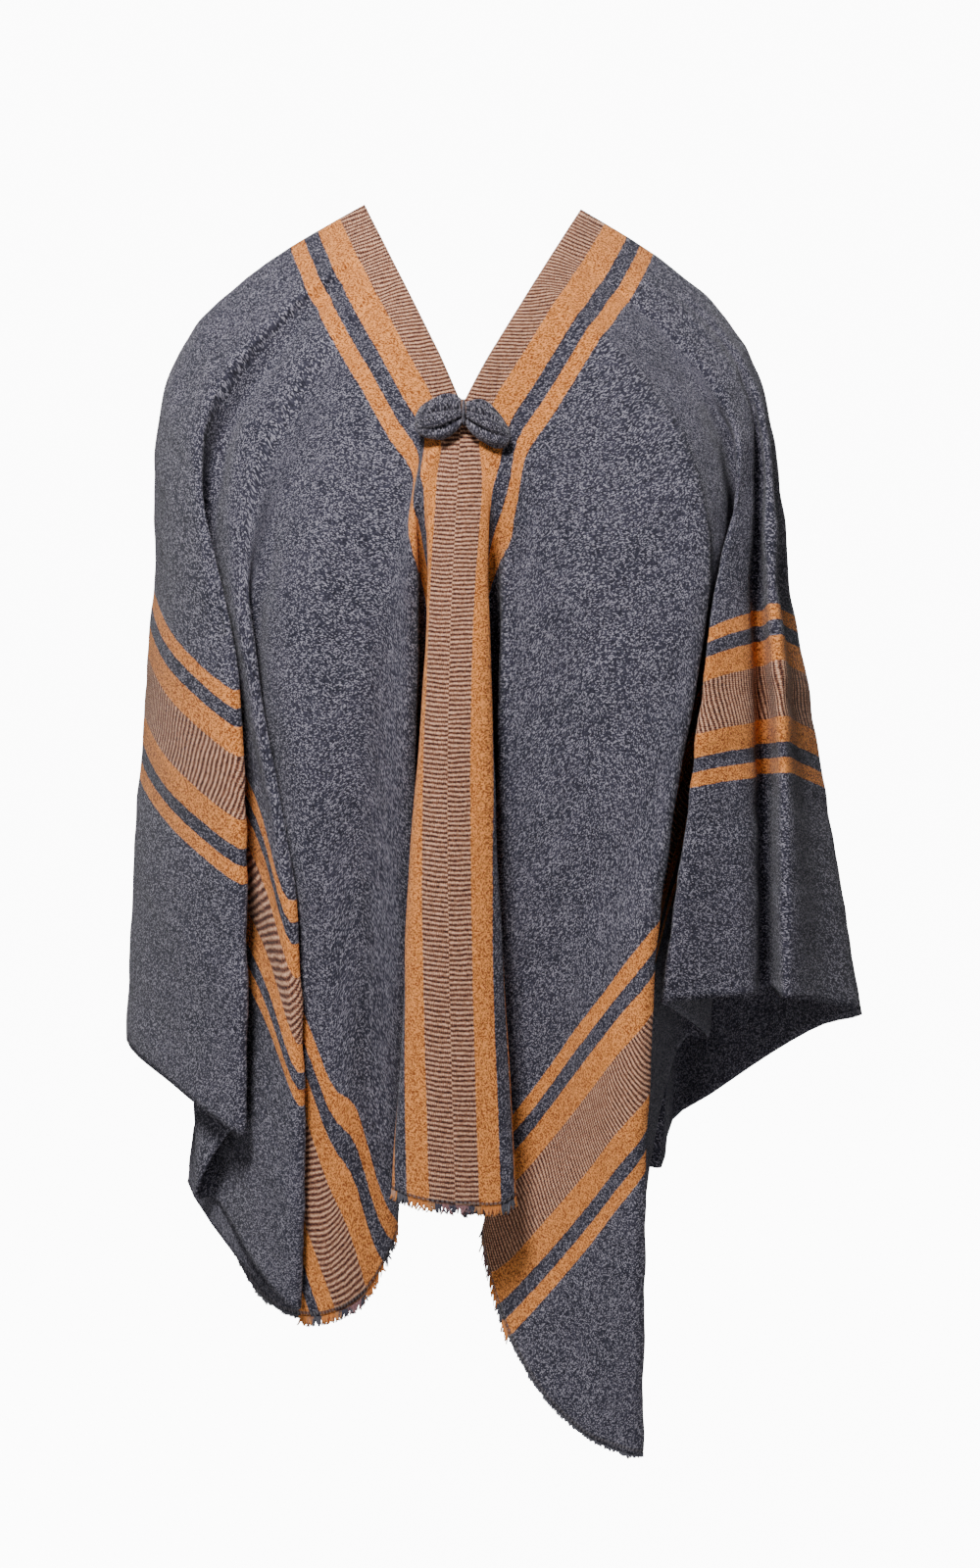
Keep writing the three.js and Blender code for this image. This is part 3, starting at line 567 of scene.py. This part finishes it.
def new_material(name):
    material = bpy.data.materials.new(name)
    material.use_nodes = True
    tree = material.node_tree
    return material, tree, tree.nodes["Principled BSDF"]


def use_group(tree, group, inputs):
    return make(tree, "ShaderNodeGroup", inputs, node_tree=group).outputs


def flat_place(tree):
    return make(tree, "ShaderNodeUVMap", (), uv_map="flat").outputs[0]


# The wool itself: grey threads with lighter and darker ones among them, matt, and a little creased. A line of
# light stitches runs just above both hems, in a groove darkened with painted shade.
LIGHT_THREADS = 0.62
DARK_THREADS = 0.7
STITCH_UP = 0.927
STITCH_WIDE = 0.0011
STITCH_LONG = 0.0042
STITCH_GROOVE_SHADE = 0.6
STITCH_SHOWS = 0.25
RIB_RELIEF = 1.6
FLECK_RELIEF = 0.6
cloth_material, tree, shader = new_material("handwoven_cloth")
place_map = flat_place(tree)
woven = use_group(tree, weave, {"Place": place_map, "Thread": THREAD})
melange = make(tree, "ShaderNodeTexNoise", {"Vector": place_map, "Scale": 22, "Detail": 7}).outputs["Fac"]
grey = blend(tree, ramp(tree, melange, 0.3, 0.7), colour(50, 50, 63), colour(62, 60, 74))
light_share = calc(tree, "MULTIPLY", ramp(tree, woven["Fleck"], 0.6, 0.95), LIGHT_THREADS)
grey = blend(tree, light_share, grey, colour(182, 177, 190))
dark_share = calc(tree, "MULTIPLY", ramp(tree, woven["Fleck"], 0.42, 0.08), DARK_THREADS)
grey = blend(tree, dark_share, grey, colour(16, 14, 24))
banded = use_group(tree, bands, {"Place": place_map, "Grey": grey, "Fleck": woven["Fleck"]})
where = make(tree, "ShaderNodeSeparateXYZ", {0: place_map}).outputs
stitch_line = calc(tree, "COMPARE", calc(tree, "ABSOLUTE", where["Y"]), STITCH_UP, STITCH_WIDE)
stitch_step = calc(tree, "SINE", calc(tree, "MULTIPLY", where["X"], 2 * math.pi / STITCH_LONG))
stitch = calc(tree, "MULTIPLY", stitch_line, ramp(tree, stitch_step, -0.2, 0.2))
# Painted shade: the groove along the stitch line is darkened in the colour.
groove_shade_share = calc(tree, "MULTIPLY", stitch_line, STITCH_GROOVE_SHADE)
wool = blend(tree, groove_shade_share, banded["Color"], colour(52, 46, 54))
wool = blend(tree, calc(tree, "MULTIPLY", stitch, STITCH_SHOWS), wool, colour(190, 184, 188))
creased = make(tree, "ShaderNodeMapping", {"Vector": place_map, "Scale": (26, 7, 1)}).outputs[0]
creases = make(tree, "ShaderNodeTexNoise", {"Vector": creased, "Scale": 1.0, "Detail": 3}).outputs["Fac"]
soft_bump = make(tree, "ShaderNodeBump", {"Strength": 0.5, "Distance": 0.006, "Height": creases}).outputs[0]
height = calc(tree, "ADD", woven["Height"], calc(tree, "MULTIPLY", banded["Rib Height"], RIB_RELIEF))
height = calc(tree, "ADD", height, calc(tree, "MULTIPLY", woven["Fleck"], FLECK_RELIEF))
bump_inputs = {"Strength": 0.4, "Distance": 0.001, "Height": height, "Normal": soft_bump}
bump = make(tree, "ShaderNodeBump", bump_inputs).outputs[0]
tree.links.new(wool, shader.inputs["Base Color"])
tree.links.new(bump, shader.inputs["Normal"])
shader.inputs["Roughness"].default_value = 0.92
shader.inputs["Specular IOR Level"].default_value = 0.2
shader.inputs["Sheen Weight"].default_value = 0.1
shader.inputs["Sheen Roughness"].default_value = 0.5
cloth.data.materials.append(cloth_material)

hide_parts("front", "back")
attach(cloth, "root")

# The fringe: the cut warp ends of both hems, twisted into short frayed tufts below the cloth's last row.
# Under the orange and slate stripes they keep the stripe's colour, and under the ribs they vary.
TUFT_APART = 0.0062
TUFT_WIDE = 0.75
TUFT_LENGTH = 0.0085
TUFT_SUNK = 0.001
TUFT_STRANDS = 5
GREY_TUFT = 0.0035
GREY_TUFT_SHORTEST = 0.6
GREY_TUFT_VARIES = 0.6
STRAND_THICK = 0.0016
STRAND_TAPER = 0.45
STRAND_SHORTEST = 0.75
STRAND_VARIES = 0.35
STRAND_FAN = 0.2
STRAND_LEAN = 0.08
STRAND_AWAY = 0.15
STRAND_CURL = 0.25
STRAND_SIDES = 3
STRAND_BENDS = 4
FRINGE_SEED = 7
HEM_NEAR = 0.5


def tube_faces(first, lengths, sides):
    """The four-sided faces of a tube, whose rings of points follow each other from the first point."""
    faces = []
    for low in range(first, first + lengths * sides, sides):
        for i in range(sides):
            a, b = low + i, low + (i + 1) % sides
            faces.append((a, b, b + sides, a + sides))
    return faces


def strand_points(root, down, along, out, length, lean, curl, away):
    """Rings of points round a tapering strand that leans and curls along the hem and bends out of it."""
    points = []
    for bend in range(STRAND_BENDS + 1):
        t = bend / STRAND_BENDS
        middle = root + down * length * t + along * length * t * (lean + curl * t)
        middle = middle + out * length * t * t * away
        thick = STRAND_THICK * (1 - STRAND_TAPER * t)
        for corner in range(STRAND_SIDES):
            angle = 2 * math.pi * corner / STRAND_SIDES
            points.append(middle + (along * math.cos(angle) + out * math.sin(angle)) * thick)
    return points


def hem_tufts(name, node, sign):
    """All the tufts of one hem: sign is 1 for the front and -1 for the back."""
    hem_flat = flat[-1]
    on_hem = [c for c in range(count) if hem_flat[c, 1] * sign > (HEM - HEM_NEAR) * MM]
    on_hem.sort(key=lambda c: hem_flat[c, 0])
    across = hem_flat[on_hem, 0]

    def hem_point(row, at):
        return np.array([np.interp(at, across, shape[row, on_hem, axis]) for axis in range(3)])

    points, faces, flat_points = [], [], []
    chance = np.random.default_rng(FRINGE_SEED + sign)
    tufts = int((across[-1] - across[0]) / TUFT_APART)
    for tuft in range(tufts + 1):
        s = across[0] + tuft * TUFT_APART
        root = hem_point(-1, s)
        down = unit(root - hem_point(-2, s))
        along = unit(hem_point(-1, s + TUFT_APART) - hem_point(-1, s - TUFT_APART))
        out = unit(np.cross(along, down))
        pick = chance.random()
        tuft_length = TUFT_LENGTH
        if min(abs(s), abs(abs(s) - BAND_APART)) >= BAND_END:
            tuft_length = GREY_TUFT * (GREY_TUFT_SHORTEST + GREY_TUFT_VARIES * chance.random())
        for strand in range(TUFT_STRANDS):
            spread = strand / (TUFT_STRANDS - 1) - 0.5
            lean = spread * STRAND_FAN + chance.normal() * STRAND_LEAN
            away = chance.normal() * STRAND_AWAY
            length = tuft_length * (STRAND_SHORTEST + STRAND_VARIES * chance.random())
            curl = chance.normal() * STRAND_CURL
            start = root - down * TUFT_SUNK + along * spread * TUFT_APART * TUFT_WIDE
            faces += tube_faces(len(points), STRAND_BENDS, STRAND_SIDES)
            points += strand_points(start, down, along, out, length, lean, curl, away)
            faces.append(tuple(range(len(points) - STRAND_SIDES, len(points))))
        flat_points += [(s, pick)] * (len(points) - len(flat_points))
    made = mesh_object(name, points, faces, flat_points)
    made.data.materials.append(fringe_material)
    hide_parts(node)
    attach(made, "root")
    return made


fringe_material, tree, shader = new_material("frayed_warp")
place_map = flat_place(tree)
banded = use_group(tree, bands, {"Place": place_map, "Grey": colour(98, 97, 107)})
picked = make(tree, "ShaderNodeSeparateXYZ", {0: place_map}).outputs["Y"]
mixed = blend(tree, ramp(tree, picked, 0.33, 0.36), colour(74, 72, 86), colour(146, 108, 112))
mixed = blend(tree, ramp(tree, picked, 0.66, 0.69), mixed, colour(186, 134, 94))
tuft_colour = blend(tree, banded["In Brown"], banded["Color"], mixed)
tree.links.new(tuft_colour, shader.inputs["Base Color"])
shader.inputs["Roughness"].default_value = 0.95
shader.inputs["Specular IOR Level"].default_value = 0.15
shader.inputs["Sheen Weight"].default_value = 0.2
front_fringe = hem_tufts("poncho_front_fringe", "front_fringe", 1)
back_fringe = hem_tufts("poncho_back_fringe", "back_fringe", -1)

# The bow: two padded loops of the same slate cloth, pinched by a knot and sewn over the slit's lower end.
# Each loop is gathered into creases that run out from the knot, and the right one droops.
KNOT_CENTRE = (-6.5, -140.8, -183.5)
KNOT_ACROSS = 1.6
KNOT_DEPTH = 7.84
KNOT_HEIGHT = 10.5
KNOT_END = 0.02
KNOT_ROUND = 0.35
KNOT_FOLDS = 5
KNOT_FOLD_DEPTH = 0.12
KNOT_FOLD_TURN = 0.8
Loop = namedtuple("Loop", "name node side length height depth tilt seed")
BOW_LOOPS = [
    Loop("bow_left", "bow_left_loop", -1, 38, 18.8, 9.8, -0.2, 1.3),
    Loop("bow_right", "bow_right_loop", 1, 36, 17.5, 9.8, -0.5, 4.6),
]
LOOP_GAP = 0.3
LOOP_PINCH = 0.11
LOOP_END = 0.98
LOOP_ROUND = 0.5
LOOP_LOBES = 0.16
LOOP_CREASES = 7
LOOP_CREASE_DEPTH = 0.5
LOOP_CREASE_SHARP = 4
LOOP_CREASE_FADE = 0.7
LOOP_CREASE_SWIRL = 1.2
LOOP_CREASE_UNEVEN = 1.5
TUBE_RINGS = 56
TUBE_SIDES = 120
BOW_FLAT = (0.05, 0.1)
BOW_THREAD = 0.0010
BOW_LIGHT_THREADS = 0.7

bow_material, tree, shader = new_material("bow_cloth")
place_map = flat_place(tree)
woven = use_group(tree, weave, {"Place": place_map, "Thread": BOW_THREAD})
slate = blend(tree, ramp(tree, woven["Fleck"], 0.45, 0.05), colour(62, 59, 72), colour(14, 12, 20))
light_share = calc(tree, "MULTIPLY", ramp(tree, woven["Fleck"], 0.6, 1.0), BOW_LIGHT_THREADS)
slate = blend(tree, light_share, slate, colour(182, 176, 188))
height = calc(tree, "ADD", woven["Height"], woven["Fleck"])
bump = make(tree, "ShaderNodeBump", {"Strength": 0.6, "Distance": 0.0009, "Height": height}).outputs[0]
tree.links.new(slate, shader.inputs["Base Color"])
tree.links.new(bump, shader.inputs["Normal"])
shader.inputs["Roughness"].default_value = 0.92
shader.inputs["Specular IOR Level"].default_value = 0.2
shader.inputs["Sheen Weight"].default_value = 0.2


def closed_tube(name, node, point_at):
    """A closed padded form of rings; point_at(share, angle) gives each of its points in millimetres."""
    points, flat_points = [], []
    for number in range(TUBE_RINGS + 1):
        share = number / TUBE_RINGS
        for i in range(TUBE_SIDES):
            points.append([v * MM for v in point_at(share, 2 * math.pi * i / TUBE_SIDES)])
            flat_points.append((share * BOW_FLAT[0], i / TUBE_SIDES * BOW_FLAT[1]))
    faces = tube_faces(0, TUBE_RINGS, TUBE_SIDES)
    faces.append(tuple(range(TUBE_SIDES))[::-1])
    faces.append(tuple(range(len(points) - TUBE_SIDES, len(points))))
    made = mesh_object(name, points, faces, flat_points)
    made.data.materials.append(bow_material)
    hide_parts(node)
    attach(made, "root")
    return made


def loop_point(loop, share, angle):
    """A point of a loop: it swells out from the pinch at the knot, and its creases fade towards the tip."""
    swell = math.sin(math.pi * (LOOP_PINCH + (LOOP_END - LOOP_PINCH) * share)) ** LOOP_ROUND
    uneven = LOOP_CREASE_UNEVEN * math.sin(angle + loop.seed)
    turn = LOOP_CREASES * angle + loop.seed + LOOP_CREASE_SWIRL * share + uneven
    crease = (0.5 + 0.5 * math.cos(turn)) ** LOOP_CREASE_SHARP
    bulge = noise.noise(Vector((math.cos(angle), math.sin(angle), loop.seed + 5 + share * 2)))
    squeeze = (1 + LOOP_LOBES * bulge) * (1 - LOOP_CREASE_DEPTH * crease * (1 - share) ** LOOP_CREASE_FADE)
    x = KNOT_ACROSS + LOOP_GAP + loop.length * share
    rise = loop.height * swell * squeeze * math.sin(angle) * loop.side
    return (
        KNOT_CENTRE[0] + loop.side * x,
        KNOT_CENTRE[1] + loop.depth * swell * squeeze * math.cos(angle),
        KNOT_CENTRE[2] + loop.tilt * x + rise,
    )


for loop in BOW_LOOPS:
    closed_tube(loop.name, loop.node, partial(loop_point, loop))


def knot_point(share, angle):
    """A point of the knot: a short upright band with a few shallow folds round it."""
    ring_size = math.sin(math.pi * min(max(share, KNOT_END), 1 - KNOT_END)) ** KNOT_ROUND
    fold = 1 - KNOT_FOLD_DEPTH * max(0, math.cos(KNOT_FOLDS * angle + KNOT_FOLD_TURN)) * ring_size
    return (
        KNOT_CENTRE[0] - KNOT_ACROSS * math.cos(math.pi * share),
        KNOT_CENTRE[1] + KNOT_DEPTH * ring_size * fold * math.cos(angle),
        KNOT_CENTRE[2] + KNOT_HEIGHT * ring_size * fold * math.sin(angle),
    )


closed_tube("bow_middle", "bow_knot", knot_point)

# The camera, 2.5 m in front of the poncho and looking 5 degrees down on its middle, in a plain pale studio.
# The floor lies well below the hem, and glows to the camera only, so it looks as bright as the backdrop.
camera_data = bpy.data.cameras.new("camera")
camera_data.lens = 65.36
camera = bpy.data.objects.new("camera", camera_data)
camera.location = (0.015, -2.4907, -0.2833)
camera.rotation_euler = (math.radians(85), 0, 0)
bpy.context.scene.collection.objects.link(camera)
bpy.context.scene.camera = camera

FLOOR_HEIGHT = -1.45
FLOOR_REACH = 8
FLOOR_GLOW = 12
floor_corners = [
    (x * FLOOR_REACH, y * FLOOR_REACH, FLOOR_HEIGHT)
    for x, y in ((-1, -1), (1, -1), (1, 1), (-1, 1))
]
floor = mesh_object("floor", floor_corners, [(0, 1, 2, 3)])
floor_material, tree, shader = new_material("pale_floor")
shader.inputs["Base Color"].default_value = colour(205, 205, 205)
shader.inputs["Roughness"].default_value = 0.9
shader.inputs["Emission Color"].default_value = colour(250, 250, 250)
seen = make(tree, "ShaderNodeLightPath").outputs["Is Camera Ray"]
tree.links.new(calc(tree, "MULTIPLY", seen, FLOOR_GLOW), shader.inputs["Emission Strength"])
floor.data.materials.append(floor_material)

# The studio's light: a white backdrop that only the camera sees, a low even light on the cloth, and three
# lamps aimed at the poncho's middle. The key lamp stands high in front, a little to the left.
BACKDROP = 12
EVEN_LIGHT = 0.06
world = bpy.data.worlds.new("studio")
bpy.context.scene.world = world
world.use_nodes = True
tree = world.node_tree
backdrop = tree.nodes["Background"]
backdrop.inputs["Color"].default_value = colour(250, 250, 250)
seen = make(tree, "ShaderNodeLightPath").outputs["Is Camera Ray"]
strength = calc(tree, "MULTIPLY_ADD", seen, BACKDROP - EVEN_LIGHT, EVEN_LIGHT)
tree.links.new(strength, backdrop.inputs["Strength"])
Light = namedtuple("Light", "name place size energy")
LIGHTS = [
    Light("key", (-0.54, -2.01, 1.66), 0.6, 134),
    Light("left fill", (-2.2, -1.8, 0.4), 1.5, 2),
    Light("back", (0.8, 3.0, 0.5), 1.5, 30),
]
poncho_middle = Vector((0, 0, -0.5))
for light in LIGHTS:
    data = bpy.data.lights.new(light.name, "AREA")
    data.size, data.energy = light.size, light.energy
    lamp = bpy.data.objects.new(light.name, data)
    lamp.location = light.place
    lamp.rotation_euler = (poncho_middle - Vector(light.place)).to_track_quat("-Z", "Y").to_euler()
    bpy.context.scene.collection.objects.link(lamp)
